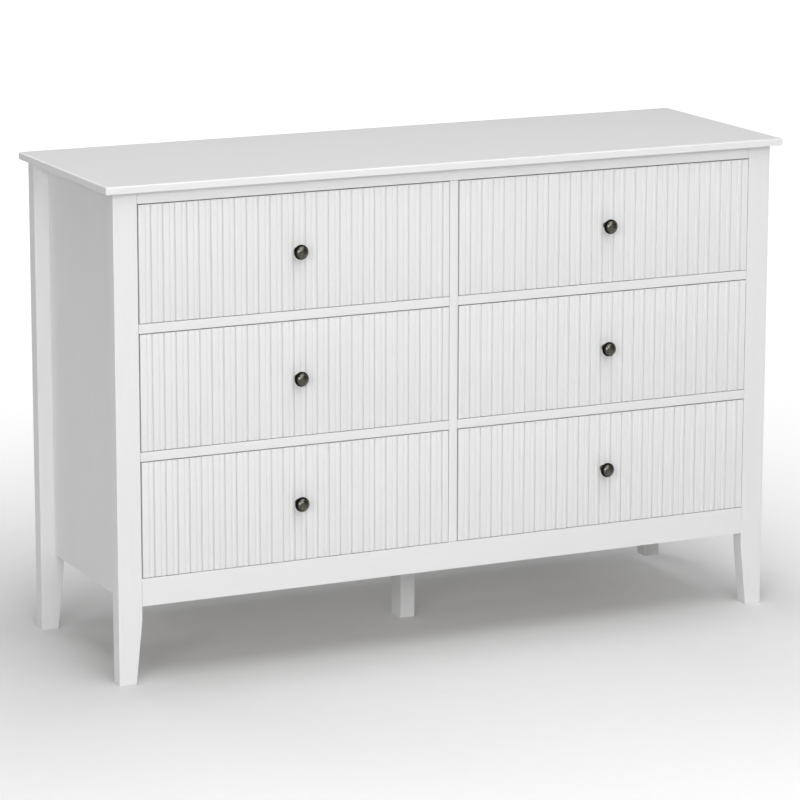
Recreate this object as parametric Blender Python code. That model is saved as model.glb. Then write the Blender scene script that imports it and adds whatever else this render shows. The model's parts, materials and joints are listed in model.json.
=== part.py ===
"""Six-drawer double dresser: two columns of three inset drawers with slatted fronts.

Units are metres and +Z is up. The front faces -Y and +X is to the right of someone who
faces it. The origin is on the floor, under the middle of the bounding box.
Every board is a piece of its own, drawn in the dresser's own depth scale, where zero is
the front face of the front legs; bench() shifts that scale onto the origin.
"""

import math

import bmesh
import bpy
from mathutils import Matrix, Vector

# Overall sizes: the top board's width and depth, and the height from the floor.
WIDTH = 1.200
DEPTH = 0.393
HEIGHT = 0.800

# Top board and how far it stands proud of the legs.
TOP_THICK = 0.012
TOP_EASE = 0.0025
TOP_EASE_STEPS = 3
TOP_OVERHANG_SIDE = 0.016
TOP_OVERHANG_FRONT = 0.014

# Corner legs: straight outside, tapered on the inner side near the floor.
LEG_WIDTH = 0.040
LEG_DEPTH = 0.025
LEG_FOOT_WIDTH = 0.029
LEG_TAPER_HEIGHT = 0.105

# Carcass boards.
FLOOR_CLEARANCE = 0.126
SIDE_THICK = 0.015
PARTITION_THICK = 0.015
APRON_HEIGHT = 0.045
APRON_PAST_FRONT = 0.002
TOP_RAIL_HEIGHT = 0.020
RAIL_THICK = 0.015
RAIL_DEPTH = 0.045
REAR_RAIL_HEIGHT = 0.045
REAR_RAIL_THICK = 0.015
BACK_THICK = 0.005
BACK_INSET = 0.003

# Support leg under the partition, at mid-depth.
CENTRE_LEG_WIDTH = 0.026
CENTRE_LEG_DEPTH = 0.036

# Guide bar under the middle of each drawer.
GUIDE_WIDTH = 0.022
GUIDE_HEIGHT = 0.022
GUIDE_TOP_CLEARANCE = 0.004

# Drawer fronts: the gap round them, and their vertical slats.
ROWS = ("upper", "middle", "lower")
FRONT_THICK = 0.018
FRONT_GAP_LEFT = 0.0024
FRONT_GAP_RIGHT = 0.0009
FRONT_GAP_TOP = 0.0017
FRONT_GAP_BOTTOM = 0.0010
SLAT_PITCH = 0.020
SLAT_FLAT_SHARE = 0.57
SLAT_GROOVE_WIDTH = 0.0028
SLAT_GROOVE_DEPTH = 0.0034
BEAD_LINE_WIDTH = 0.0016
BEAD_LINE_DEPTH = 0.0005

# Drawer boxes: board thickness, and the room left round each box in its opening.
BOX_BOARD = 0.012
BOX_SIDE_CLEARANCE = 0.003
BOX_FLOOR_CLEARANCE = 0.001
BOX_TOP_CLEARANCE = 0.058
BOX_REAR_CLEARANCE = 0.010
BOTTOM_THICK = 0.005
BOTTOM_RAISE = 0.012
GROOVE_DEPTH = 0.006

# Turned knobs.
KNOB_DIAMETER = 0.024
KNOB_PROJECTION = 0.026
KNOB_BASE_DIAMETER = 0.0105
KNOB_NECK_DIAMETER = 0.009
KNOB_NECK_SHARE = 0.30
KNOB_RIM_SHARE = 0.64
KNOB_RAISE = 0.002
KNOB_SIDES = 28
KNOB_DOME_STEPS = 7

# Clearance that two glued or screwed faces keep.
JOINT_GAP = 0.0003

# Finishes: base colour (linear), roughness, metallic.
FINISHES = {
    "white_paint": ((0.80, 0.80, 0.81), 0.42, 0.0),
    "pale_wood": ((0.58, 0.44, 0.29), 0.60, 0.0),
    "hardboard": ((0.74, 0.73, 0.71), 0.62, 0.0),
    "bronze": ((0.060, 0.044, 0.030), 0.34, 1.0),
}

# Sizes that follow from the driving ones.
UNDER_TOP = HEIGHT - TOP_THICK
REAR = DEPTH - TOP_OVERHANG_FRONT
LEG_OUTER = WIDTH / 2 - TOP_OVERHANG_SIDE
LEG_INNER = LEG_OUTER - LEG_WIDTH
REAR_LEG_FRONT = REAR - LEG_DEPTH
BACK_FACE = REAR - BACK_INSET - BACK_THICK
REAR_RAIL_FRONT = BACK_FACE - REAR_RAIL_THICK
APRON_TOP = FLOOR_CLEARANCE + APRON_HEIGHT
APRON_THICK = FRONT_THICK + APRON_PAST_FRONT
TOP_RAIL_BOTTOM = UNDER_TOP - TOP_RAIL_HEIGHT
ROW_COUNT = len(ROWS)
OPENING_HEIGHT = (TOP_RAIL_BOTTOM - APRON_TOP - (ROW_COUNT - 1) * RAIL_THICK) / ROW_COUNT
BOX_FRONT = FRONT_THICK + JOINT_GAP
BOX_REAR = REAR_RAIL_FRONT - BOX_REAR_CLEARANCE
PANEL_BOTTOM = BOX_FLOOR_CLEARANCE + BOTTOM_RAISE
GUIDE_TOP = PANEL_BOTTOM - GUIDE_TOP_CLEARANCE
KNOB_TIP = -KNOB_PROJECTION - JOINT_GAP
MIDDLE_DEPTH = (KNOB_TIP + REAR) / 2

# Each column's opening, from its left face to its right face.
COLUMNS = {
    "left": (-LEG_INNER, -PARTITION_THICK / 2),
    "right": (PARTITION_THICK / 2, LEG_INNER),
}


def clear_scene():
    for old in list(bpy.data.objects):
        bpy.data.objects.remove(old, do_unlink=True)


def make_finishes():
    made = {}
    for name, (colour, roughness, metallic) in FINISHES.items():
        material = bpy.data.materials.new(name)
        material.use_nodes = True
        shader = material.node_tree.nodes["Principled BSDF"]
        shader.inputs["Base Color"].default_value = (*colour, 1.0)
        shader.inputs["Roughness"].default_value = roughness
        shader.inputs["Metallic"].default_value = metallic
        made[name] = material
    return made


def bench(y):
    """Depth behind the front legs' front face, as a depth from the origin."""
    return y - MIDDLE_DEPTH


def opening_floor(row):
    """Height of the bottom of a row's opening; row 0 is the upper one."""
    steps_up = ROW_COUNT - 1 - row
    return APRON_TOP + steps_up * (OPENING_HEIGHT + RAIL_THICK)


def finish_object(name, mesh_data, origin, finish, parent=None):
    """Turn a bmesh drawn in the dresser's scale into an object whose origin is at origin."""
    shift = Vector((0.0, -MIDDLE_DEPTH, 0.0)) - Vector(origin)
    bmesh.ops.translate(mesh_data, verts=mesh_data.verts, vec=shift)
    bmesh.ops.recalc_face_normals(mesh_data, faces=mesh_data.faces)
    mesh = bpy.data.meshes.new(name)
    mesh_data.to_mesh(mesh)
    mesh_data.free()
    mesh.materials.append(finish)
    piece = bpy.data.objects.new(name, mesh)
    bpy.context.collection.objects.link(piece)
    if parent is None:
        piece.location = origin
    else:
        piece.parent = parent
        piece.location = Vector(origin) - parent.location
    return piece


def centre_of(mesh_data):
    """Middle of a bmesh's box, on the origin's depth scale."""
    spans = [[vert.co[axis] for vert in mesh_data.verts] for axis in range(3)]
    middle = Vector([(min(span) + max(span)) / 2 for span in spans])
    middle.y = bench(middle.y)
    return middle


def board_mesh(x_span, y_span, z_span):
    """A plain board between two limits on each axis."""
    size = Vector([span[1] - span[0] for span in (x_span, y_span, z_span)])
    middle = Vector([(span[0] + span[1]) / 2 for span in (x_span, y_span, z_span)])
    mesh_data = bmesh.new()
    bmesh.ops.create_cube(mesh_data, size=1.0, matrix=Matrix.Translation(middle))
    bmesh.ops.scale(mesh_data, vec=size, verts=mesh_data.verts, space=Matrix.Translation(-middle))
    return mesh_data


def extruded_mesh(outline, plane, span):
    """A closed outline in one plane ("xy", "xz" or "yz"), extruded across span."""
    axes = ["xyz".index(letter) for letter in plane]
    across = 3 - sum(axes)
    mesh_data = bmesh.new()
    corners = []
    for first, second in outline:
        point = Vector((0.0, 0.0, 0.0))
        point[axes[0]] = first
        point[axes[1]] = second
        point[across] = span[0]
        corners.append(mesh_data.verts.new(point))
    face = mesh_data.faces.new(corners)
    extruded = bmesh.ops.extrude_face_region(mesh_data, geom=[face])
    moved = [item for item in extruded["geom"] if isinstance(item, bmesh.types.BMVert)]
    step = Vector((0.0, 0.0, 0.0))
    step[across] = span[1] - span[0]
    bmesh.ops.translate(mesh_data, verts=moved, vec=step)
    return mesh_data


def add_board(name, x_span, y_span, z_span, finish, parent=None):
    mesh_data = board_mesh(x_span, y_span, z_span)
    return finish_object(name, mesh_data, centre_of(mesh_data), finish, parent)


def add_extruded(name, outline, plane, span, finish, parent=None):
    mesh_data = extruded_mesh(outline, plane, span)
    return finish_object(name, mesh_data, centre_of(mesh_data), finish, parent)


def cut_with_box(piece, x_span, y_span, z_span):
    """Cut a box-shaped groove out of a piece."""
    name = piece.name + "_groove_cutter"
    mesh_data = board_mesh(x_span, y_span, z_span)
    cutter = finish_object(name, mesh_data, centre_of(mesh_data), piece.data.materials[0])
    cutter.hide_render = True
    cutter.display_type = "WIRE"
    cut = piece.modifiers.new("groove", "BOOLEAN")
    cut.operation = "DIFFERENCE"
    cut.solver = "EXACT"
    cut.object = cutter


def add_top(finishes):
    half = WIDTH / 2
    mesh_data = board_mesh((-half, half), (-TOP_OVERHANG_FRONT, REAR), (UNDER_TOP, HEIGHT))
    middle = HEIGHT - TOP_THICK / 2
    upper = [edge for edge in mesh_data.edges if all(vert.co.z > middle for vert in edge.verts)]
    bmesh.ops.bevel(
        mesh_data,
        geom=upper,
        offset=TOP_EASE,
        offset_type="OFFSET",
        segments=TOP_EASE_STEPS,
        profile=0.5,
        affect="EDGES",
    )
    finish_object("top_board", mesh_data, centre_of(mesh_data), finishes["white_paint"])


def leg_outline(side):
    """Front view of a corner leg; side is -1 on the left and 1 on the right."""
    foot_inner = LEG_OUTER - LEG_FOOT_WIDTH
    top = UNDER_TOP - JOINT_GAP
    half = [
        (LEG_OUTER, 0.0),
        (LEG_OUTER, top),
        (LEG_INNER, top),
        (LEG_INNER, LEG_TAPER_HEIGHT),
        (foot_inner, 0.0),
    ]
    return [(side * x, z) for x, z in half]


def add_legs(finishes):
    for side_name, side in (("left", -1), ("right", 1)):
        outline = leg_outline(side)
        for end_name, front in (("front", 0.0), ("rear", REAR_LEG_FRONT)):
            name = f"leg_{end_name}_{side_name}"
            add_extruded(name, outline, "xz", (front, front + LEG_DEPTH), finishes["white_paint"])


def add_side_panels(finishes):
    depth = (LEG_DEPTH + JOINT_GAP, REAR_LEG_FRONT - JOINT_GAP)
    height = (FLOOR_CLEARANCE, UNDER_TOP - JOINT_GAP)
    for side_name, side in (("left", -1), ("right", 1)):
        faces = sorted((side * LEG_INNER, side * (LEG_INNER + SIDE_THICK)))
        add_board(f"side_panel_{side_name}", faces, depth, height, finishes["white_paint"])


def add_front_rails(finishes):
    paint = finishes["white_paint"]
    width = (-LEG_INNER + JOINT_GAP, LEG_INNER - JOINT_GAP)
    top_span = (TOP_RAIL_BOTTOM, UNDER_TOP - JOINT_GAP)
    add_board("front_top_rail", width, (0.0, RAIL_DEPTH), top_span, paint)
    add_board("front_apron", width, (0.0, APRON_THICK), (FLOOR_CLEARANCE, APRON_TOP), paint)
    for column, (left, right) in COLUMNS.items():
        for row in range(ROW_COUNT - 1):
            top = opening_floor(row)
            name = f"rail_{column}_under_{ROWS[row]}_drawer"
            span = (left + JOINT_GAP, right - JOINT_GAP)
            add_board(name, span, (0.0, RAIL_DEPTH), (top - RAIL_THICK, top), paint)


def add_partition(finishes):
    """Upright board between the columns, notched round the top rail and the apron."""
    rear = REAR_RAIL_FRONT - JOINT_GAP
    top = UNDER_TOP - JOINT_GAP
    outline = [
        (0.0, APRON_TOP + JOINT_GAP),
        (APRON_THICK + JOINT_GAP, APRON_TOP + JOINT_GAP),
        (APRON_THICK + JOINT_GAP, FLOOR_CLEARANCE),
        (rear, FLOOR_CLEARANCE),
        (rear, top),
        (RAIL_DEPTH + JOINT_GAP, top),
        (RAIL_DEPTH + JOINT_GAP, TOP_RAIL_BOTTOM - JOINT_GAP),
        (0.0, TOP_RAIL_BOTTOM - JOINT_GAP),
    ]
    half = PARTITION_THICK / 2
    add_extruded("centre_partition", outline, "yz", (-half, half), finishes["white_paint"])


def add_back(finishes):
    width = (-LEG_INNER + JOINT_GAP, LEG_INNER - JOINT_GAP)
    top = UNDER_TOP - JOINT_GAP
    panel_depth = (BACK_FACE, BACK_FACE + BACK_THICK)
    rail_depth = (REAR_RAIL_FRONT, BACK_FACE - JOINT_GAP)
    add_board("back_panel", width, panel_depth, (FLOOR_CLEARANCE, top), finishes["hardboard"])
    low_span = (FLOOR_CLEARANCE, FLOOR_CLEARANCE + REAR_RAIL_HEIGHT)
    high_span = (top - REAR_RAIL_HEIGHT, top)
    add_board("rear_bottom_rail", width, rail_depth, low_span, finishes["white_paint"])
    add_board("rear_top_rail", width, rail_depth, high_span, finishes["white_paint"])


def add_centre_leg(finishes):
    half = CENTRE_LEG_WIDTH / 2
    middle = REAR / 2
    depth = (middle - CENTRE_LEG_DEPTH / 2, middle + CENTRE_LEG_DEPTH / 2)
    height = (0.0, FLOOR_CLEARANCE - JOINT_GAP)
    add_board("centre_leg", (-half, half), depth, height, finishes["white_paint"])


def add_guides(finishes):
    """One bar per drawer, from the rail or apron in front to the rear rail or the back."""
    for column, (left, right) in COLUMNS.items():
        middle = (left + right) / 2
        width = (middle - GUIDE_WIDTH / 2, middle + GUIDE_WIDTH / 2)
        for row in range(ROW_COUNT):
            top = opening_floor(row) + GUIDE_TOP
            lowest = row == ROW_COUNT - 1
            front = APRON_THICK if lowest else RAIL_DEPTH
            rear = REAR_RAIL_FRONT if lowest else BACK_FACE
            depth = (front + JOINT_GAP, rear - JOINT_GAP)
            name = f"guide_{ROWS[row]}_{column}"
            add_board(name, width, depth, (top - GUIDE_HEIGHT, top), finishes["pale_wood"])


def groove_points(x, width, depth):
    """A V-shaped cut in the front face, from left lip to right lip."""
    return [(x - width / 2, 0.0), (x, depth), (x + width / 2, 0.0)]


def front_outline(left, right):
    """Plan of a slatted front: deep grooves between slats, a fine line along each slat.

    The pattern starts with a whole slat on the left and ends with the flat part of one.
    """
    width = right - left
    slats = round(width / SLAT_PITCH - SLAT_FLAT_SHARE)
    pitch = width / (slats + SLAT_FLAT_SHARE)
    face = [(left, 0.0)]
    for slat in range(slats):
        start = left + slat * pitch
        line = start + SLAT_FLAT_SHARE * pitch
        face += groove_points(line, BEAD_LINE_WIDTH, BEAD_LINE_DEPTH)
        face += groove_points(start + pitch, SLAT_GROOVE_WIDTH, SLAT_GROOVE_DEPTH)
    face.append((right, 0.0))
    return face + [(right, FRONT_THICK), (left, FRONT_THICK)]


def knob_profile():
    """Half section of a knob as (radius, distance in front of the drawer front)."""
    base = KNOB_BASE_DIAMETER / 2
    neck = KNOB_NECK_DIAMETER / 2
    head = KNOB_DIAMETER / 2
    neck_end = KNOB_PROJECTION * KNOB_NECK_SHARE
    flange = neck_end / 3
    rim = KNOB_PROJECTION * KNOB_RIM_SHARE
    profile = [(0.0, 0.0), (base, 0.0), (base, flange), (neck, 2 * flange), (neck, neck_end)]
    for step in range(1, KNOB_DOME_STEPS):
        angle = math.pi / 2 * step / KNOB_DOME_STEPS
        radius = neck + (head - neck) * math.sin(angle)
        profile.append((radius, rim - (rim - neck_end) * math.cos(angle)))
    for step in range(KNOB_DOME_STEPS):
        angle = math.pi / 2 * step / KNOB_DOME_STEPS
        profile.append((head * math.cos(angle), rim + (KNOB_PROJECTION - rim) * math.sin(angle)))
    profile.append((0.0, KNOB_PROJECTION))
    return profile


def add_knob(name, x, z, finishes, parent):
    """Turn the half section about the knob's own axis, which runs along Y."""
    mesh_data = bmesh.new()
    verts = [
        mesh_data.verts.new((x + radius, -JOINT_GAP - out, z)) for radius, out in knob_profile()
    ]
    edges = [mesh_data.edges.new(pair) for pair in zip(verts, verts[1:])]
    bmesh.ops.spin(
        mesh_data,
        geom=verts + edges,
        cent=(x, 0.0, z),
        axis=(0.0, 1.0, 0.0),
        angle=2 * math.pi,
        steps=KNOB_SIDES,
    )
    bmesh.ops.remove_doubles(mesh_data, verts=mesh_data.verts, dist=1e-5)
    origin = Vector((x, bench(-JOINT_GAP), z))
    knob = finish_object(name, mesh_data, origin, finishes["bronze"], parent)
    knob.data.shade_smooth()
    knob.data.set_sharp_from_angle(angle=math.radians(40))


def side_outline(inner, outer, bottom, top, panel_bottom):
    """Section of a box side: a board with a groove for the drawer bottom on its inner face."""
    toward_inside = 1.0 if inner > outer else -1.0
    groove_end = inner - toward_inside * GROOVE_DEPTH
    groove_bottom = panel_bottom - JOINT_GAP
    groove_top = panel_bottom + BOTTOM_THICK + JOINT_GAP
    return [
        (outer, bottom),
        (inner, bottom),
        (inner, groove_bottom),
        (groove_end, groove_bottom),
        (groove_end, groove_top),
        (inner, groove_top),
        (inner, top),
        (outer, top),
    ]


def add_box(prefix, opening, floor, finishes, drawer):
    """Two grooved sides, a back that stands on the bottom panel, and the bottom panel."""
    wood = finishes["pale_wood"]
    outer_left = opening[0] + BOX_SIDE_CLEARANCE
    outer_right = opening[1] - BOX_SIDE_CLEARANCE
    inner_left = outer_left + BOX_BOARD
    inner_right = outer_right - BOX_BOARD
    bottom = floor + BOX_FLOOR_CLEARANCE
    top = floor + OPENING_HEIGHT - BOX_TOP_CLEARANCE
    panel_bottom = floor + PANEL_BOTTOM
    panel_top = panel_bottom + BOTTOM_THICK
    for side, inner, outer in (("left", inner_left, outer_left), ("right", inner_right, outer_right)):
        outline = side_outline(inner, outer, bottom, top, panel_bottom)
        add_extruded(f"{prefix}_side_{side}", outline, "xz", (BOX_FRONT, BOX_REAR), wood, drawer)
    back_width = (inner_left + JOINT_GAP, inner_right - JOINT_GAP)
    back_height = (panel_top + JOINT_GAP, top)
    back_depth = (BOX_REAR - BOX_BOARD, BOX_REAR)
    add_board(f"{prefix}_back", back_width, back_depth, back_height, wood, drawer)
    reach = GROOVE_DEPTH - JOINT_GAP
    panel_width = (inner_left - reach, inner_right + reach)
    panel_depth = (FRONT_THICK - reach, BOX_REAR)
    panel_height = (panel_bottom, panel_top)
    panel = finishes["hardboard"]
    add_board(f"{prefix}_bottom", panel_width, panel_depth, panel_height, panel, drawer)


def add_front(prefix, opening, floor, finishes, drawer):
    """Slatted front with a groove across its back face for the drawer bottom."""
    left = opening[0] + FRONT_GAP_LEFT
    right = opening[1] - FRONT_GAP_RIGHT
    height = (floor + FRONT_GAP_BOTTOM, floor + OPENING_HEIGHT - FRONT_GAP_TOP)
    outline = front_outline(left, right)
    front = add_extruded(f"{prefix}_front", outline, "xy", height, finishes["white_paint"], drawer)
    panel_bottom = floor + PANEL_BOTTOM
    inset = BOX_SIDE_CLEARANCE + BOX_BOARD - GROOVE_DEPTH
    groove_width = (opening[0] + inset, opening[1] - inset)
    groove_depth = (FRONT_THICK - GROOVE_DEPTH, FRONT_THICK + GROOVE_DEPTH)
    groove_height = (panel_bottom - JOINT_GAP, panel_bottom + BOTTOM_THICK + JOINT_GAP)
    cut_with_box(front, groove_width, groove_depth, groove_height)


def add_drawers(finishes):
    for column, opening in COLUMNS.items():
        middle = (opening[0] + opening[1]) / 2
        for row, row_name in enumerate(ROWS):
            floor = opening_floor(row)
            prefix = f"drawer_{row_name}_{column}"
            drawer = bpy.data.objects.new(prefix + "_slide_axis", None)
            drawer.location = (middle, bench(0.0), floor)
            bpy.context.collection.objects.link(drawer)
            add_front(prefix, opening, floor, finishes, drawer)
            add_box(prefix, opening, floor, finishes, drawer)
            knob_height = floor + OPENING_HEIGHT / 2 + KNOB_RAISE
            add_knob(f"{prefix}_knob", middle, knob_height, finishes, drawer)


def main():
    clear_scene()
    finishes = make_finishes()
    add_top(finishes)
    add_legs(finishes)
    add_side_panels(finishes)
    add_front_rails(finishes)
    add_partition(finishes)
    add_back(finishes)
    add_centre_leg(finishes)
    add_guides(finishes)
    add_drawers(finishes)


main()
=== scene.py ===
import json
import math

import bmesh
import bpy
from mathutils import Matrix, Vector


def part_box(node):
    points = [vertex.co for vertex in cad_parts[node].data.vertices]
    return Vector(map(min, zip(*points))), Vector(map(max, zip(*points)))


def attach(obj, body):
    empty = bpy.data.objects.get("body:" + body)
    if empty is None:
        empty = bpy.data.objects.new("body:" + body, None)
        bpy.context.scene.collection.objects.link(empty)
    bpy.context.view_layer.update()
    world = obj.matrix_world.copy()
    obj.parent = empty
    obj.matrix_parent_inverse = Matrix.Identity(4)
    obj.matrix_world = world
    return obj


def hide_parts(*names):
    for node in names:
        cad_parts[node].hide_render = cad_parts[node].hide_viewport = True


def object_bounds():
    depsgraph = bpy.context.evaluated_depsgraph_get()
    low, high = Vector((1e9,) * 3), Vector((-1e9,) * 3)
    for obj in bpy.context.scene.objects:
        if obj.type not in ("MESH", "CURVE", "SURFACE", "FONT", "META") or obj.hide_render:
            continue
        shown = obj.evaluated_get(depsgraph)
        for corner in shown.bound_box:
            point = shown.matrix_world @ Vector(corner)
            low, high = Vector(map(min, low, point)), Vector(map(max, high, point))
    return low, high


# Looks for a white six-drawer dresser: painted boards, slatted fronts, pine drawer boxes.
#
# Units are metres, +Z is up and the drawers face -Y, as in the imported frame. The place of every
# piece is read from the frame's nodes; the named values are sizes of details and finishes.

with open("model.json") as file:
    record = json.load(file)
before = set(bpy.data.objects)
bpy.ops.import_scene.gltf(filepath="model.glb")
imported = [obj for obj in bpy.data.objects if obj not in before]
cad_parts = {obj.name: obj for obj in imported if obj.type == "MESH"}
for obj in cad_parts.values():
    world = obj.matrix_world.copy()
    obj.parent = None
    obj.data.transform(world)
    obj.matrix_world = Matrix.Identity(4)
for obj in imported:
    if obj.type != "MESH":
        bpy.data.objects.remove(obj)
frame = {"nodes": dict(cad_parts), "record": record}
CAD_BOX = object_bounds()

NODES = frame["nodes"]
COLUMNS = ("left", "right")
ROWS = ("upper", "middle", "lower")
DRAWERS = [f"drawer_{row}_{column}" for row in ROWS for column in COLUMNS]

# Eased edges of the boards: radius by kind of board, then for the boards that differ.
BOARD_EASE = 0.0008
BOX_EASE = 0.0010
THIN_EASE = 0.0004
SPECIAL_EASES = {
    "top_board": 0.0006,
    "side_panel_left": 0.0016,
    "side_panel_right": 0.0016,
    "front_top_rail": 0.0012,
}
EASE_SEGMENTS = 3
WELD_DISTANCE = 1e-6
EDGE_ANGLE = math.radians(35)
EVEN_WEIGHT = 100

# Slatted fronts: each slat is a flat part, a fine line, a bead and a deep groove. The shapes of
# groove and line are (share of its width from its middle, share of its depth).
SLAT_PITCH = 0.020
SLAT_FLAT_SHARE = 0.57
GROOVE_WIDTH = 0.0032
GROOVE_DEPTH = 0.0037
LINE_WIDTH = 0.0026
LINE_DEPTH = 0.0021
FLAT_CROWN = 0.00008
BEAD_CROWN = 0.00028
FRONT_EASE = 0.0009
LIP_DEPTH = 0.006
GROOVE_SHAPE = (
    (-0.50, 0.00), (-0.41, 0.06), (-0.34, 0.28), (-0.24, 0.78), (0.00, 1.00),
    (0.24, 0.78), (0.34, 0.28), (0.41, 0.06), (0.50, 0.00),
)
LINE_SHAPE = ((-0.50, 0.00), (-0.22, 0.55), (0.00, 1.00), (0.22, 0.55), (0.50, 0.00))
# Columns of mesh across the flat part, the bead and the eased edge, as shares of their widths.
FLAT_STEPS = (0.16, 0.50, 0.84)
BEAD_STEPS = (0.16, 0.33, 0.50, 0.67, 0.84)
EASE_STEPS = (0.0, 0.13, 0.37, 0.69, 1.0)

# Turned knob: half section as (radius, distance in front of its foot), then its dome.
KNOB_SIDES = 64
KNOB_SECTION = (
    (0.00530, 0.0000), (0.00530, 0.0012), (0.00512, 0.0018), (0.00478, 0.0027),
    (0.00456, 0.0040), (0.00450, 0.0056), (0.00460, 0.0072), (0.00505, 0.0086),
    (0.00610, 0.0102), (0.00770, 0.0119), (0.00940, 0.0134), (0.01070, 0.0146),
    (0.01150, 0.0155), (0.01188, 0.0161),
)
DOME_RADIUS = 0.0120
DOME_FOOT = 0.0166
DOME_TOP = 0.0260
DOME_STEPS = 20
DOME_SWEEP = 0.97 * math.pi / 2


# ---------------------------------------------------------------- node materials

# Linear colours of the finishes.
PAINT_CLEAN = (0.808, 0.808, 0.808)
PAINT_CLOUD = (0.790, 0.790, 0.790)
PAINT_STROKE = (0.772, 0.772, 0.772)
PAINT_DUST = (0.758, 0.755, 0.750)
PINE_PALE = (0.640, 0.475, 0.300)
PINE_CLOUD = (0.560, 0.405, 0.245)
PINE_LATE_WOOD = (0.430, 0.275, 0.140)
PINE_FIBRE = (0.480, 0.335, 0.195)
PINE_STREAK = (0.330, 0.205, 0.105)
BOARD_PALE = (0.745, 0.735, 0.715)
BOARD_CLOUD = (0.700, 0.690, 0.670)
BOARD_FIBRE = (0.610, 0.585, 0.545)
BOARD_FLECK = (0.470, 0.400, 0.320)
BRONZE_DULL = (0.046, 0.040, 0.027)
BRONZE_RUBBED = (0.144, 0.132, 0.102)
BRONZE_BROWN = (0.068, 0.045, 0.023)
# Near-black for the knob's rim: painted shade for the dark reflections of its steep edge.
BRONZE_RIM_SHADE = (0.010, 0.009, 0.008)
# The rim's sheen is dimmed to paint its reflections dark; the rest of the knob keeps full sheen.
RIM_SHADE_SHEEN = (0.12, 0.12, 0.12)
FULL_SHEEN = (1.0, 1.0, 1.0)
ZINC_GREY = (0.560, 0.560, 0.550)
ZINC_YELLOW = (0.640, 0.620, 0.560)
NYLON_PALE = (0.80, 0.80, 0.77)
NYLON_CLOUD = (0.74, 0.74, 0.70)
NYLON_DEPTHS = (0.002, 0.002, 0.002)

# Growth rings: the direction they stack in, rings per metre, and how far the noise bends them.
RING_DIRECTION = (0.83, 0.61, 1.0)
RINGS_PER_METRE = 95.0
RING_BEND = 0.16
RING_SHARPNESS = 2.6

# Where the painted shade on a knob's rim begins and is full, as distances from the knob's axis:
# the near-black stands for the dark reflections of the knob's steep edge.
RIM_SHADE_START = 0.0086
RIM_SHADE_FULL = 0.0110

# Socket numbers of a Mix node that mixes colours.
MIX_SHARE = 0
MIX_FIRST = 6
MIX_SECOND = 7
MIX_RESULT = 2


class Look:
    """A node material: inputs take either a plain value or another node's output."""

    def __init__(self, name):
        self.material = bpy.data.materials.new(name)
        self.material.use_nodes = True
        self.tree = self.material.node_tree
        self.tree.nodes.clear()
        self.place = self.node("ShaderNodeTexCoord").outputs["Object"]
        self.shader = self.node("ShaderNodeBsdfPrincipled")
        output = self.node("ShaderNodeOutputMaterial")
        self.feed(output.inputs["Surface"], self.shader.outputs["BSDF"])

    def feed(self, socket, value):
        """Link another node's output to a socket, or set the socket's own value."""
        if isinstance(value, bpy.types.NodeSocket):
            self.tree.links.new(value, socket)
        else:
            socket.default_value = value

    def node(self, kind, feeds=(), **settings):
        """Add a node, with its settings and what feeds its inputs."""
        made = self.tree.nodes.new(kind)
        for key, value in settings.items():
            setattr(made, key, value)
        for key, value in dict(feeds).items():
            self.feed(made.inputs[key], value)
        return made

    def set(self, **values):
        """Feed the shader: Base_Color stands for its input Base Color, and so on."""
        for key, value in values.items():
            self.feed(self.shader.inputs[key.replace("_", " ")], value)

    def stretch(self, scale):
        feeds = {"Vector": self.place, "Scale": scale}
        return self.node("ShaderNodeMapping", feeds).outputs["Vector"]

    def noise(self, vector, scale, detail=2.0, rough=0.5, distortion=0.0):
        feeds = {
            "Vector": vector,
            "Scale": scale,
            "Detail": detail,
            "Roughness": rough,
            "Distortion": distortion,
        }
        return self.node("ShaderNodeTexNoise", feeds).outputs["Fac"]

    def fit(self, value, low, high, start=0.0, end=1.0, smooth=False):
        """Carry a value from the range low to high over to the range start to end, and clamp it."""
        feeds = {
            "Value": value,
            "From Min": low,
            "From Max": high,
            "To Min": start,
            "To Max": end,
        }
        kind = "SMOOTHSTEP" if smooth else "LINEAR"
        return self.node("ShaderNodeMapRange", feeds, interpolation_type=kind).outputs["Result"]

    def maths(self, operation, first, second=0.0):
        made = self.node("ShaderNodeMath", {0: first, 1: second}, operation=operation)
        return made.outputs["Value"]

    def mix(self, share, first, second):
        """Blend from the first colour to the second, each a tuple or another node's output."""
        feeds = {MIX_SHARE: share}
        for socket, colour in ((MIX_FIRST, first), (MIX_SECOND, second)):
            feeds[socket] = (*colour, 1.0) if isinstance(colour, tuple) else colour
        made = self.node("ShaderNodeMix", feeds, data_type="RGBA")
        return made.outputs[MIX_RESULT]

    def bump(self, height, distance, strength=1.0, under=None):
        feeds = {"Height": height, "Distance": distance, "Strength": strength}
        if under is not None:
            feeds["Normal"] = under
        return self.node("ShaderNodeBump", feeds).outputs["Normal"]


def along(axis, squeeze):
    """Scale that stretches a texture along one axis."""
    return tuple(squeeze if letter == axis else 1.0 for letter in "XYZ")


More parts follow.
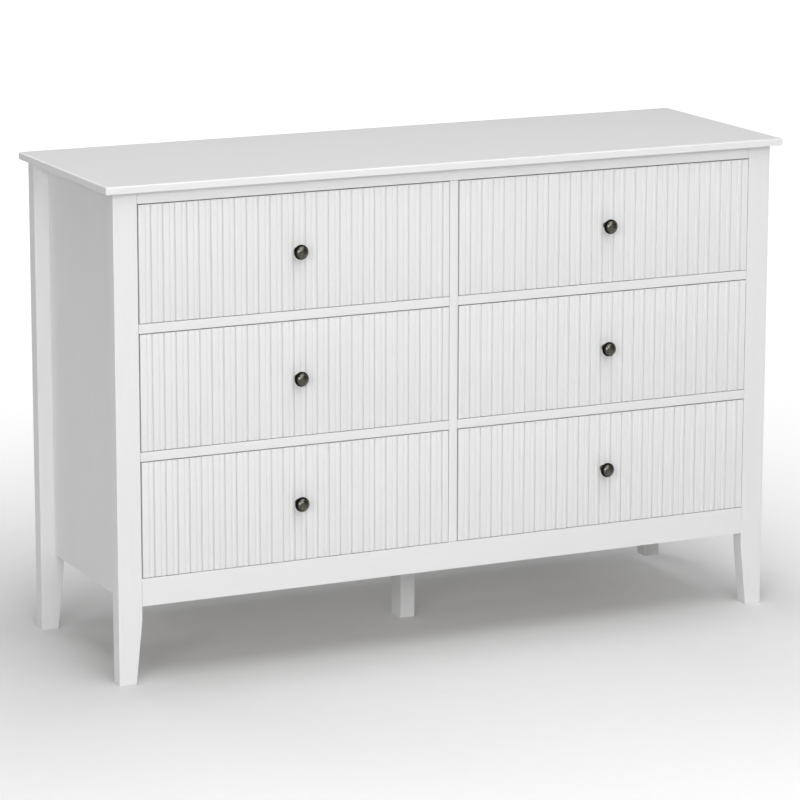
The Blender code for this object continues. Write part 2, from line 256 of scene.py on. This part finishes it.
def paint_look(name, axis):
    """Sprayed satin lacquer: faint cloudiness, fine stipple, and sanding lines along a board."""
    look = Look(name)
    clouds = look.noise(look.place, scale=4.0, detail=3.0, rough=0.6)
    mottle = look.noise(look.place, scale=55.0, detail=3.0, rough=0.6)
    strokes = look.noise(look.stretch(along(axis, 0.03)), scale=260.0, detail=3.0, rough=0.6)
    stipple = look.noise(look.place, scale=520.0)
    tone = look.mix(look.fit(clouds, 0.35, 0.65), PAINT_CLEAN, PAINT_CLOUD)
    lined = look.mix(look.fit(strokes, 0.30, 0.75, end=0.55), tone, PAINT_STROKE)
    dusty = look.mix(look.fit(mottle, 0.58, 0.78, end=0.35), lined, PAINT_DUST)
    line_gloss = look.fit(strokes, 0.2, 0.8, start=0.42, end=0.50)
    patch_gloss = look.fit(mottle, 0.3, 0.7, start=-0.03, end=0.03)
    gloss = look.maths("ADD", line_gloss, patch_gloss)
    skin = look.bump(stipple, distance=0.00005, strength=0.35)
    lines = look.bump(strokes, distance=0.00008, strength=0.35, under=skin)
    look.set(Base_Color=dusty, Roughness=gloss, Normal=lines)
    look.set(Coat_Weight=0.10, Coat_Roughness=0.25)
    return look.material


def pine_look(name, axis):
    """Sanded softwood: growth rings cut along the board, fine fibres and a few dark streaks."""
    look = Look(name)
    drawn = look.stretch(along(axis, 0.055))
    warp = look.noise(drawn, scale=9.0, detail=3.0, rough=0.55, distortion=0.4)
    feeds = {0: drawn, 1: RING_DIRECTION}
    across = look.node("ShaderNodeVectorMath", feeds, operation="DOT_PRODUCT").outputs["Value"]
    bent = look.maths("ADD", across, look.maths("MULTIPLY", warp, RING_BEND))
    rings = look.maths("FRACT", look.maths("MULTIPLY", bent, RINGS_PER_METRE))
    late = look.maths("POWER", rings, RING_SHARPNESS)
    fibres = look.noise(look.stretch(along(axis, 0.012)), scale=900.0, detail=3.0, rough=0.65)
    streaks = look.noise(look.stretch(along(axis, 0.02)), scale=42.0)
    clouds = look.noise(drawn, scale=4.0)
    ground = look.mix(look.fit(clouds, 0.3, 0.7), PINE_PALE, PINE_CLOUD)
    ringed = look.mix(look.maths("MULTIPLY", late, 0.45), ground, PINE_LATE_WOOD)
    fibred = look.mix(look.fit(fibres, 0.35, 0.75, end=0.45), ringed, PINE_FIBRE)
    streaked = look.mix(look.fit(streaks, 0.66, 0.80, end=0.6), fibred, PINE_STREAK)
    gloss = look.fit(fibres, 0.2, 0.8, start=0.50, end=0.68)
    ridges = look.bump(late, distance=0.00012, strength=0.4)
    grain = look.bump(fibres, distance=0.00015, strength=0.5, under=ridges)
    look.set(Base_Color=streaked, Roughness=gloss, Normal=grain)
    return look.material


def fibreboard_look(name):
    """Thin white-faced fibreboard: pressed fibres show through a thin pale coat."""
    look = Look(name)
    fibres = look.noise(look.place, scale=380.0, detail=4.0, rough=0.7, distortion=1.2)
    flecks = look.noise(look.stretch(along("Z", 0.35)), scale=160.0, distortion=2.0)
    clouds = look.noise(look.place, scale=6.0, detail=3.0)
    ground = look.mix(look.fit(clouds, 0.3, 0.7), BOARD_PALE, BOARD_CLOUD)
    pressed = look.mix(look.fit(fibres, 0.45, 0.75, end=0.5), ground, BOARD_FIBRE)
    flecked = look.mix(look.fit(flecks, 0.68, 0.78, end=0.6), pressed, BOARD_FLECK)
    gloss = look.fit(fibres, 0.3, 0.7, start=0.52, end=0.66)
    texture = look.bump(fibres, distance=0.00012, strength=0.4)
    look.set(Base_Color=flecked, Roughness=gloss, Normal=texture)
    return look.material


def bronze_look(name):
    """Lacquered antique bronze on a knob turned about its own Y axis, with a rubbed dome and a
    black rim: on the rim, colour, sheen and lacquer are dimmed as painted shade for the dark
    reflections of its steep edge.
    """
    look = Look(name)
    parts = look.node("ShaderNodeSeparateXYZ", {0: look.place}).outputs
    squares = [
        look.maths("POWER", look.maths("ABSOLUTE", parts[axis]), 2.0)
        for axis in "XZ"
    ]
    radius = look.maths("SQRT", look.maths("ADD", *squares))
    # The rim mask paints shade: it darkens the colour, dims the sheen, and roughens and unlacquers
    # the rim.
    rim = look.fit(radius, RIM_SHADE_START, RIM_SHADE_FULL, smooth=True)
    blotches = look.noise(look.place, scale=260.0, detail=4.0, rough=0.65)
    patches = look.noise(look.place, scale=95.0)
    grain = look.noise(look.place, scale=1500.0)
    metal = look.mix(look.fit(blotches, 0.38, 0.66), BRONZE_DULL, BRONZE_RUBBED)
    browned = look.mix(look.fit(patches, 0.48, 0.66, end=0.6), metal, BRONZE_BROWN)
    rim_shaded_metal = look.mix(rim, browned, BRONZE_RIM_SHADE)
    dome_gloss = look.fit(blotches, 0.3, 0.7, start=0.22, end=0.32)
    gloss = look.maths("ADD", dome_gloss, look.maths("MULTIPLY", rim, 0.22))
    sheen_with_rim_shade = look.mix(rim, FULL_SHEEN, RIM_SHADE_SHEEN)
    lacquer = look.fit(rim, 0.0, 1.0, start=1.0, end=0.0)
    pitting = look.bump(blotches, distance=0.00012, strength=0.3)
    surface = look.bump(grain, distance=0.00004, strength=0.5, under=pitting)
    look.set(Base_Color=rim_shaded_metal, Roughness=gloss, Metallic=0.9, Specular_Tint=sheen_with_rim_shade)
    look.set(Coat_Weight=lacquer, Coat_Roughness=0.18, Normal=surface)
    return look.material


def steel_look(name):
    """Zinc-plated screws: grey with faint yellow passivation and small scratches."""
    look = Look(name)
    blotches = look.noise(look.place, scale=300.0, detail=3.0, rough=0.6)
    scratches = look.noise(look.stretch((1.0, 0.1, 0.3)), scale=1800.0)
    colour = look.mix(look.fit(blotches, 0.35, 0.65), ZINC_GREY, ZINC_YELLOW)
    gloss = look.fit(scratches, 0.3, 0.7, start=0.25, end=0.42)
    surface = look.bump(scratches, distance=0.00002, strength=0.4)
    look.set(Base_Color=colour, Roughness=gloss, Metallic=1.0, Normal=surface)
    return look.material


def nylon_look(name):
    """Milky moulded nylon of the drawer glides."""
    look = Look(name)
    clouds = look.noise(look.place, scale=90.0)
    pits = look.noise(look.place, scale=900.0)
    colour = look.mix(look.fit(clouds, 0.3, 0.7), NYLON_PALE, NYLON_CLOUD)
    gloss = look.fit(pits, 0.3, 0.7, start=0.34, end=0.46)
    surface = look.bump(pits, distance=0.00003, strength=0.4)
    look.set(Base_Color=colour, Roughness=gloss, Normal=surface)
    look.set(Subsurface_Weight=0.12, Subsurface_Radius=NYLON_DEPTHS)
    return look.material


# ---------------------------------------------------------------- mesh helpers


def add_piece(name, shape, material, body=None, place=(0.0, 0.0, 0.0)):
    """Turn a bmesh into a smooth-shaded piece that rides on a body."""
    bmesh.ops.recalc_face_normals(shape, faces=shape.faces)
    mesh = bpy.data.meshes.new(name)
    shape.to_mesh(mesh)
    shape.free()
    mesh.materials.append(material)
    mesh.shade_smooth()
    mesh.set_sharp_from_angle(angle=EDGE_ANGLE)
    piece = bpy.data.objects.new(name, mesh)
    piece.location = place
    bpy.context.scene.collection.objects.link(piece)
    if body is not None:
        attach(piece, body)
    return piece


def loft(shape, rings):
    """Skin between rings of as many points each; the first and last ring are filled."""
    loops = [[shape.verts.new(point) for point in ring] for ring in rings]
    for near, far in zip(loops, loops[1:]):
        for index, corner in enumerate(near):
            after = (index + 1) % len(near)
            shape.faces.new((corner, near[after], far[after], far[index]))
    shape.faces.new(loops[0])
    shape.faces.new(loops[-1])


# ---------------------------------------------------------------- drawer fronts


def crown(left, right, steps, height):
    """Gently rounded strip: columns at shares of its width, deepest at its two edges."""
    return [(left + (right - left) * step, height * (2 * step - 1) ** 2) for step in steps]


def cut(middle, width, depth, outline, bases):
    """A groove about a middle line, falling from the strip on its left to the one on its right."""
    columns = []
    for share, deep in outline:
        base = bases[0] + (bases[1] - bases[0]) * (share + 0.5)
        columns.append((middle + share * width, base + deep * (depth - base)))
    return columns


def front_plan(left, right):
    """Across a front: (place, depth of the slat pattern) for every column of the face."""
    width = right - left
    slats = round(width / SLAT_PITCH - SLAT_FLAT_SHARE)
    pitch = width / (slats + SLAT_FLAT_SHARE)
    flat = SLAT_FLAT_SHARE * pitch
    plan = [(left + FRONT_EASE * step, 0.0) for step in EASE_STEPS]
    flat_start = left + FRONT_EASE
    for slat in range(slats):
        line = left + slat * pitch + flat
        groove = left + (slat + 1) * pitch
        plan += crown(flat_start, line - LINE_WIDTH / 2, FLAT_STEPS, FLAT_CROWN)
        plan += cut(line, LINE_WIDTH, LINE_DEPTH, LINE_SHAPE, (FLAT_CROWN, BEAD_CROWN))
        plan += crown(line + LINE_WIDTH / 2, groove - GROOVE_WIDTH / 2, BEAD_STEPS, BEAD_CROWN)
        plan += cut(groove, GROOVE_WIDTH, GROOVE_DEPTH, GROOVE_SHAPE, (BEAD_CROWN, FLAT_CROWN))
        flat_start = groove + GROOVE_WIDTH / 2
    plan += crown(flat_start, right - FRONT_EASE, FLAT_STEPS, FLAT_CROWN)
    plan += [(right - FRONT_EASE * step, 0.0) for step in reversed(EASE_STEPS)]
    return plan


def eased(distance_in):
    """How far an eased edge has fallen back, from how far inside the easing a point is."""
    reach = min(FRONT_EASE, distance_in)
    return FRONT_EASE - math.sqrt(FRONT_EASE**2 - reach**2)


def add_lip(shape, edge, depth):
    """A flat strip from a wavy edge of the face back to a straight line behind its grooves."""
    lip = [shape.verts.new((corner.co.x, depth, corner.co.z)) for corner in edge]
    for index in range(len(edge) - 1):
        shape.faces.new((edge[index], edge[index + 1], lip[index + 1], lip[index]))
    return lip


def add_front(drawer, paint):
    """A slatted front in place of the CAD one, with the groove for the drawer's bottom behind."""
    low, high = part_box(f"{drawer}_front")
    panel_low, panel_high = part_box(f"{drawer}_bottom")
    plan = front_plan(low.x, high.x)
    levels = [low.z + FRONT_EASE * step for step in EASE_STEPS]
    levels += [high.z - FRONT_EASE * step for step in reversed(EASE_STEPS)]
    shape = bmesh.new()
    grid = []
    for z in levels:
        past_z = max(0.0, low.z + FRONT_EASE - z, z - high.z + FRONT_EASE)
        row = []
        for x, deep in plan:
            past_x = max(0.0, low.x + FRONT_EASE - x, x - high.x + FRONT_EASE)
            y = low.y + deep + eased(math.hypot(past_x, past_z))
            row.append(shape.verts.new((x, y, z)))
        grid.append(row)
    for under, over in zip(grid, grid[1:]):
        for index in range(len(under) - 1):
            shape.faces.new((under[index], under[index + 1], over[index + 1], over[index]))
    rim = [(low.x, low.z), (high.x, low.z), (high.x, high.z), (low.x, high.z)]
    back = [shape.verts.new((x, high.y, z)) for x, z in rim]
    under_lip = add_lip(shape, grid[0], low.y + LIP_DEPTH)
    over_lip = add_lip(shape, grid[-1], low.y + LIP_DEPTH)
    shape.faces.new(under_lip + [back[1], back[0]])
    shape.faces.new(over_lip + [back[2], back[3]])
    shape.faces.new([row[0] for row in grid] + [over_lip[0], back[3], back[0], under_lip[0]])
    shape.faces.new([row[-1] for row in grid] + [over_lip[-1], back[2], back[1], under_lip[-1]])
    mouth_rim = [
        (panel_low.x, panel_low.z), (panel_high.x, panel_low.z),
        (panel_high.x, panel_high.z), (panel_low.x, panel_high.z),
    ]
    mouth = [shape.verts.new((x, high.y, z)) for x, z in mouth_rim]
    floor = [shape.verts.new((x, panel_low.y, z)) for x, z in mouth_rim]
    for index in range(4):
        after = (index + 1) % 4
        shape.faces.new((back[index], back[after], mouth[after], mouth[index]))
        shape.faces.new((mouth[index], mouth[after], floor[after], floor[index]))
    shape.faces.new(floor)
    piece = add_piece(f"{drawer}_slatted_front", shape, paint, drawer)
    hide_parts(f"{drawer}_front")


# ---------------------------------------------------------------- knobs


def add_knob(drawer, bronze):
    """A turned knob in place of the CAD one, with its foot at its own origin."""
    low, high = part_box(f"{drawer}_knob")
    middle = (low + high) / 2
    section = list(KNOB_SECTION)
    for step in range(DOME_STEPS + 1):
        angle = DOME_SWEEP * step / DOME_STEPS
        out = DOME_FOOT + (DOME_TOP - DOME_FOOT) * math.sin(angle)
        section.append((DOME_RADIUS * math.cos(angle), out))
    turns = [2 * math.pi * side / KNOB_SIDES for side in range(KNOB_SIDES)]
    shape = bmesh.new()
    loft(shape, [
        [(radius * math.cos(turn), -out, radius * math.sin(turn)) for turn in turns]
        for radius, out in section
    ])
    place = (middle.x, high.y, middle.z)
    piece = add_piece(f"{drawer}_turned_knob", shape, bronze, drawer, place)
    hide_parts(f"{drawer}_knob")


# ---------------------------------------------------------------- fittings

# Cross-recess screw head: (share of the radius, share of the height) from its seat up to the
# recess, then down into the recess. The recess is a cross, sized in shares of the radius.
HEAD_SIDES = 24
HEAD_SECTION = ((1.00, 0.00), (1.00, 0.25), (0.95, 0.50), (0.85, 0.74), (0.72, 0.88))
RECESS_SECTION = ((1.00, 0.94), (0.62, 0.20))
RECESS_ARM = 0.55
RECESS_HALF_WIDTH = 0.12
RECESS_ARM_TIP = math.radians(1)
WASHER_SIDES = 64
WASHER_SECTION = ((1.00, 0.00), (1.00, 0.70), (0.96, 1.00))
# Fittings as (radius, height), how high they sit above the box's lower edge, and their spacing.
KNOB_WASHER = (0.0065, 0.0009)
KNOB_SCREW = (0.0042, 0.0026)
BOX_SCREW = (0.0036, 0.0003)
BOX_SCREW_RISES = (0.032, 0.105)
CAM_LOCK = (0.0075, 0.0004)
CAM_LOCK_SETBACK = 0.034
CAM_LOCK_RISES = (0.035, 0.100)
PANEL_SCREW = (0.0034, 0.0016)
PANEL_SCREW_SPACING = 0.155
PANEL_SCREW_INSET = 0.0075
# Glide saddle: a channel that straddles the guide bar, with some play around it.
SADDLE_LENGTH = 0.024
SADDLE_SETBACK = 0.002
SADDLE_PLAY = 0.0009
SADDLE_WALL = 0.0026
SADDLE_GRIP = 0.010
SADDLE_EASE = 0.0005
SADDLE_EASE_SEGMENTS = 2


def cross_outline(turn):
    """Radius share of a cross recess at an angle from one of its arms."""
    past_arm = turn % (math.pi / 2)
    off_axis = min(past_arm, math.pi / 2 - past_arm)
    if off_axis < RECESS_ARM_TIP:
        return RECESS_ARM
    return min(RECESS_ARM / math.cos(off_axis), RECESS_HALF_WIDTH / math.sin(off_axis))


def spokes_about(out, sides):
    """Evenly spaced (turn, direction) pairs around a direction."""
    side = out.orthogonal().normalized()
    up = out.cross(side)
    turns = [2 * math.pi * step / sides for step in range(sides)]
    return [(turn, math.cos(turn) * side + math.sin(turn) * up) for turn in turns]


def add_screw_head(shape, seat, out, size):
    """A low domed head with a cross recess, seated on a face that looks along out."""
    radius, height = size
    spokes = spokes_about(out, HEAD_SIDES)
    rings = [
        [seat + out * lift * height + spoke * radius * share for _, spoke in spokes]
        for share, lift in HEAD_SECTION
    ]
    for share, lift in RECESS_SECTION:
        middle = seat + out * lift * height
        reach = radius * share
        rings.append([middle + spoke * reach * cross_outline(turn) for turn, spoke in spokes])
    loft(shape, rings)


def add_washer(shape, seat, out, size):
    radius, height = size
    spokes = spokes_about(out, WASHER_SIDES)
    loft(shape, [
        [seat + out * lift * height + spoke * radius * share for _, spoke in spokes]
        for share, lift in WASHER_SECTION
    ])


def add_drawer_screws(drawer, steel):
    """The knob's screw behind the front, the box's corner screws and its cam locks."""
    shape = bmesh.new()
    knob_low, knob_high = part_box(f"{drawer}_knob")
    knob = (knob_low + knob_high) / 2
    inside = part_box(f"{drawer}_front")[1].y
    back_out = Vector((0.0, 1.0, 0.0))
    add_washer(shape, Vector((knob.x, inside, knob.z)), back_out, KNOB_WASHER)
    seat = Vector((knob.x, inside + KNOB_WASHER[1], knob.z))
    add_screw_head(shape, seat, back_out, KNOB_SCREW)
    rear_low, rear_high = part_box(f"{drawer}_back")
    for hand, outward in (("left", -1.0), ("right", 1.0)):
        low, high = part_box(f"{drawer}_side_{hand}")
        out = Vector((outward, 0.0, 0.0))
        outer = low.x if hand == "left" else high.x
        inner = high.x if hand == "left" else low.x
        for rise in BOX_SCREW_RISES:
            seat = Vector((outer, (rear_low.y + rear_high.y) / 2, low.z + rise))
            add_screw_head(shape, seat, out, BOX_SCREW)
        for rise in CAM_LOCK_RISES:
            seat = Vector((inner, inside + CAM_LOCK_SETBACK, low.z + rise))
            add_screw_head(shape, seat, -out, CAM_LOCK)
    add_piece(f"{drawer}_screws", shape, steel, drawer)


def add_saddle(drawer, nylon):
    """A moulded clip under the rear of the box that straddles its guide bar."""
    guide = drawer.replace("drawer", "guide")
    guide_low, guide_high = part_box(guide)
    panel_low, panel_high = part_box(f"{drawer}_bottom")
    inner = (guide_high.x - guide_low.x) / 2 + SADDLE_PLAY
    outer = inner + SADDLE_WALL
    middle = (guide_high.x + guide_low.x) / 2
    top = panel_low.z
    ceiling = guide_high.z + SADDLE_PLAY
    foot = guide_high.z - SADDLE_GRIP
    outline = [
        (-outer, top), (-outer, foot), (-inner, foot), (-inner, ceiling),
        (inner, ceiling), (inner, foot), (outer, foot), (outer, top),
    ]
    rear = panel_high.y - SADDLE_SETBACK
    shape = bmesh.new()
    loft(shape, [
        [Vector((middle + x, y, z)) for x, z in outline]
        for y in (rear - SADDLE_LENGTH, rear)
    ])
    bmesh.ops.bevel(
        shape,
        geom=shape.edges[:],
        offset=SADDLE_EASE,
        segments=SADDLE_EASE_SEGMENTS,
        profile=0.5,
        affect="EDGES",
    )
    add_piece(f"{drawer}_glide_saddle", shape, nylon, drawer)


def add_panel_screws(steel):
    """Screws that hold the back panel to the rear rails and the centre partition."""
    low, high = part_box("back_panel")
    out = Vector((0.0, 1.0, 0.0))
    across = round((high.x - low.x) / PANEL_SCREW_SPACING)
    up = round((high.z - low.z) / PANEL_SCREW_SPACING)
    reach_x = high.x - low.x - 2 * PANEL_SCREW_INSET
    reach_z = high.z - low.z - 2 * PANEL_SCREW_INSET
    shape = bmesh.new()
    for step in range(across + 1):
        x = low.x + PANEL_SCREW_INSET + reach_x * step / across
        for z in (low.z + PANEL_SCREW_INSET, high.z - PANEL_SCREW_INSET):
            add_screw_head(shape, Vector((x, high.y, z)), out, PANEL_SCREW)
    for step in range(1, up):
        z = low.z + PANEL_SCREW_INSET + reach_z * step / up
        add_screw_head(shape, Vector(((low.x + high.x) / 2, high.y, z)), out, PANEL_SCREW)
    add_piece("back_panel_screws", shape, steel, "cabinet")


# ---------------------------------------------------------------- carried-over CAD boards


def ease_board(node, radius):
    """Join the imported faces, round the edges over, and shade the rounding evenly."""
    board = NODES[node]
    weld = board.modifiers.new("weld", "WELD")
    weld.merge_threshold = WELD_DISTANCE
    ease = board.modifiers.new("ease", "BEVEL")
    ease.width = radius
    ease.segments = EASE_SEGMENTS
    ease.limit_method = "ANGLE"
    ease.angle_limit = EDGE_ANGLE
    ease.use_clamp_overlap = True
    even = board.modifiers.new("even", "WEIGHTED_NORMAL")
    even.weight = EVEN_WEIGHT
    even.keep_sharp = False


def longest_axis(node):
    """The axis along a board, which its grain or its sanding lines follow."""
    low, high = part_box(node)
    size = high - low
    return "XYZ"[max(range(3), key=lambda axis: size[axis])]


def finish_boards(paints, pines, board):
    """Give every CAD board that stays its node material and its eased edges."""
    slots = {part["node"]: part["material_slot"] for part in frame["record"]["subparts"]}
    for node, slot_name in slots.items():
        if slot_name == "white_paint":
            material, ease = paints[longest_axis(node)], SPECIAL_EASES.get(node, BOARD_EASE)
        elif slot_name == "pale_wood":
            material, ease = pines[longest_axis(node)], BOX_EASE
        elif slot_name == "hardboard":
            material, ease = board, THIN_EASE
        else:
            continue
        if node.endswith("_front"):
            continue
        NODES[node].material_slots[0].material = material
        ease_board(node, ease)


# ---------------------------------------------------------------- studio

WHITE = (1.0, 1.0, 1.0, 1.0)
FLOOR_REACH = 40.0
ROOM_STRENGTH = 0.19
BACKDROP_STRENGTH = 1.0
# Floor: diffuse paper whose own glow grows with distance from the dresser, up to nearly white:
# the dim glow near it is a painted shadow, deeper in front, and lighter on the right, a painted
# light. The glow and the white backdrop are only for sight, and light nothing on the dresser.
GLOW_FAR = 0.90
PAINTED_SHADOW_DEPTH = 0.85
PAINTED_SHADOW_REACH = 1.9
PAINTED_SHADOW_FRONT = 0.06
PAINTED_SHADOW_FRONT_SPAN = (-0.3, 0.3)
PAINTED_LIGHT_RIGHT = 0.20
PAINTED_LIGHT_RIGHT_SPAN = (0.3, 0.9)
FLOOR_TONES = ((0.690, 0.690, 0.690), (0.680, 0.680, 0.680))
FLOOR_ROUGHNESS = 0.9
# Softboxes: (name, place, the point it faces, width and height, power in watts).
SOFTBOXES = (
    ("overhead_softbox", (0.0, -1.1, 3.6), (0.0, -0.2, 0.2), (3.0, 3.0), 71.0),
    ("key_softbox", (-1.1, -6.8, 4.4), (0.0, 0.0, 0.4), (4.4, 3.8), 183.0),
    ("left_softbox", (-6.5, -7.5, 3.0), (0.0, 0.0, 0.4), (4.0, 4.0), 332.0),
    ("rear_softbox", (-2.0, 7.0, 4.5), (0.0, 0.0, 0.4), (4.0, 3.0), 130.0),
)


def floor_look(name):
    """Pale seamless paper: a faint fibre tone, and a glow that grows away from the footprint, which
    leaves a painted shadow around it.
    """
    look = Look(name)
    corner = CAD_BOX[1]
    parts = look.node("ShaderNodeSeparateXYZ", {0: look.place}).outputs
    past = []
    for axis, edge in (("X", corner.x), ("Y", corner.y)):
        outside = look.maths("SUBTRACT", look.maths("ABSOLUTE", parts[axis]), edge)
        past.append(look.maths("POWER", look.maths("MAXIMUM", outside, 0.0), 2.0))
    away = look.maths("SQRT", look.maths("ADD", *past))
    # The glow lost near the footprint is a painted shadow; on the right it is lightened, a painted
    # light.
    nearness = look.maths("EXPONENT", look.maths("MULTIPLY", away, -1.0 / PAINTED_SHADOW_REACH))
    painted_right_light = look.fit(parts["X"], *PAINTED_LIGHT_RIGHT_SPAN, end=PAINTED_LIGHT_RIGHT, smooth=True)
    shadow_depth = look.maths("SUBTRACT", PAINTED_SHADOW_DEPTH, painted_right_light)
    painted_front_shadow = look.fit(parts["Y"], *PAINTED_SHADOW_FRONT_SPAN, PAINTED_SHADOW_FRONT, 0.0, smooth=True)
    painted_shadow = look.maths("MULTIPLY", nearness, look.maths("ADD", shadow_depth, painted_front_shadow))
    glow = look.maths("MAXIMUM", look.maths("SUBTRACT", GLOW_FAR, painted_shadow), 0.0)
    sight = look.node("ShaderNodeLightPath").outputs["Is Camera Ray"]
    fibres = look.noise(look.place, scale=30.0, detail=3.0)
    tone = look.mix(look.fit(fibres, 0.3, 0.7), *FLOOR_TONES)
    look.set(Base_Color=tone, Roughness=FLOOR_ROUGHNESS)
    look.set(Emission_Color=WHITE, Emission_Strength=look.maths("MULTIPLY", glow, sight))
    return look.material


def add_floor():
    shape = bmesh.new()
    corners = [(-1, -1), (1, -1), (1, 1), (-1, 1)]
    shape.faces.new([shape.verts.new((x * FLOOR_REACH, y * FLOOR_REACH, 0.0)) for x, y in corners])
    floor = add_piece("studio_floor", shape, floor_look("studio_floor"))


def add_world():
    """A dim even room for light and reflections, seen as a plain white backdrop."""
    world = bpy.data.worlds.new("studio")
    world.use_nodes = True
    tree = world.node_tree
    background = tree.nodes["Background"]
    background.inputs["Color"].default_value = WHITE
    strength = tree.nodes.new("ShaderNodeMapRange")
    strength.inputs["To Min"].default_value = ROOM_STRENGTH
    strength.inputs["To Max"].default_value = BACKDROP_STRENGTH
    sight = tree.nodes.new("ShaderNodeLightPath").outputs["Is Camera Ray"]
    tree.links.new(sight, strength.inputs["Value"])
    tree.links.new(strength.outputs["Result"], background.inputs["Strength"])
    bpy.context.scene.world = world


def add_area_light(name, place, target, size, power):
    light = bpy.data.lights.new(name, "AREA")
    light.shape = "RECTANGLE"
    light.size, light.size_y = size
    light.energy = power
    lamp = bpy.data.objects.new(name, light)
    bpy.context.scene.collection.objects.link(lamp)
    lamp.location = place
    toward = Vector(target) - Vector(place)
    lamp.rotation_euler = toward.to_track_quat("-Z", "Y").to_euler()
    return lamp


def add_studio():
    add_floor()
    add_world()
    for softbox in SOFTBOXES:
        add_area_light(*softbox)
    bpy.context.scene.view_settings.view_transform = "Standard"


# Where the camera stands: its X, its distance in front of the front legs, and its Z.
CAMERA_X = -2.6605
CAMERA_AHEAD = 5.4138
CAMERA_Z = 1.7522
CAMERA_HEADING = math.radians(25.35)
CAMERA_PITCH = math.radians(-12.56)
CAMERA_ROLL = math.radians(0.09)
CAMERA_LENS = 171.8
SENSOR_WIDTH = 36.0
VIEW_REACH = 2 * FLOOR_REACH


def add_camera():
    camera_data = bpy.data.cameras.new("camera")
    camera_data.sensor_width = SENSOR_WIDTH
    camera_data.lens = CAMERA_LENS
    camera_data.clip_end = VIEW_REACH
    camera = bpy.data.objects.new("camera", camera_data)
    bpy.context.scene.collection.objects.link(camera)
    right = Vector((math.cos(CAMERA_HEADING), -math.sin(CAMERA_HEADING), 0.0))
    ahead = Vector((
        math.sin(CAMERA_HEADING) * math.cos(CAMERA_PITCH),
        math.cos(CAMERA_HEADING) * math.cos(CAMERA_PITCH),
        math.sin(CAMERA_PITCH),
    ))
    up = right.cross(ahead)
    rolled_right = math.cos(CAMERA_ROLL) * right + math.sin(CAMERA_ROLL) * up
    rolled_up = math.cos(CAMERA_ROLL) * up - math.sin(CAMERA_ROLL) * right
    turn = Matrix((rolled_right, rolled_up, -ahead)).transposed()
    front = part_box("leg_front_left")[0].y
    place = Vector((CAMERA_X, front - CAMERA_AHEAD, CAMERA_Z))
    camera.matrix_world = Matrix.Translation(place) @ turn.to_4x4()
    bpy.context.scene.camera = camera


# ---------------------------------------------------------------- build


def main():
    add_camera()
    paints = {axis: paint_look(f"white_paint_{axis.lower()}", axis) for axis in "XYZ"}
    pines = {axis: pine_look(f"pale_wood_{axis.lower()}", axis) for axis in "XYZ"}
    board = fibreboard_look("hardboard")
    bronze = bronze_look("bronze")
    steel = steel_look("zinc_steel")
    nylon = nylon_look("nylon")
    finish_boards(paints, pines, board)
    for drawer in DRAWERS:
        add_front(drawer, paints["Z"])
        add_knob(drawer, bronze)
        add_drawer_screws(drawer, steel)
        add_saddle(drawer, nylon)
    add_panel_screws(steel)
    add_studio()


main()
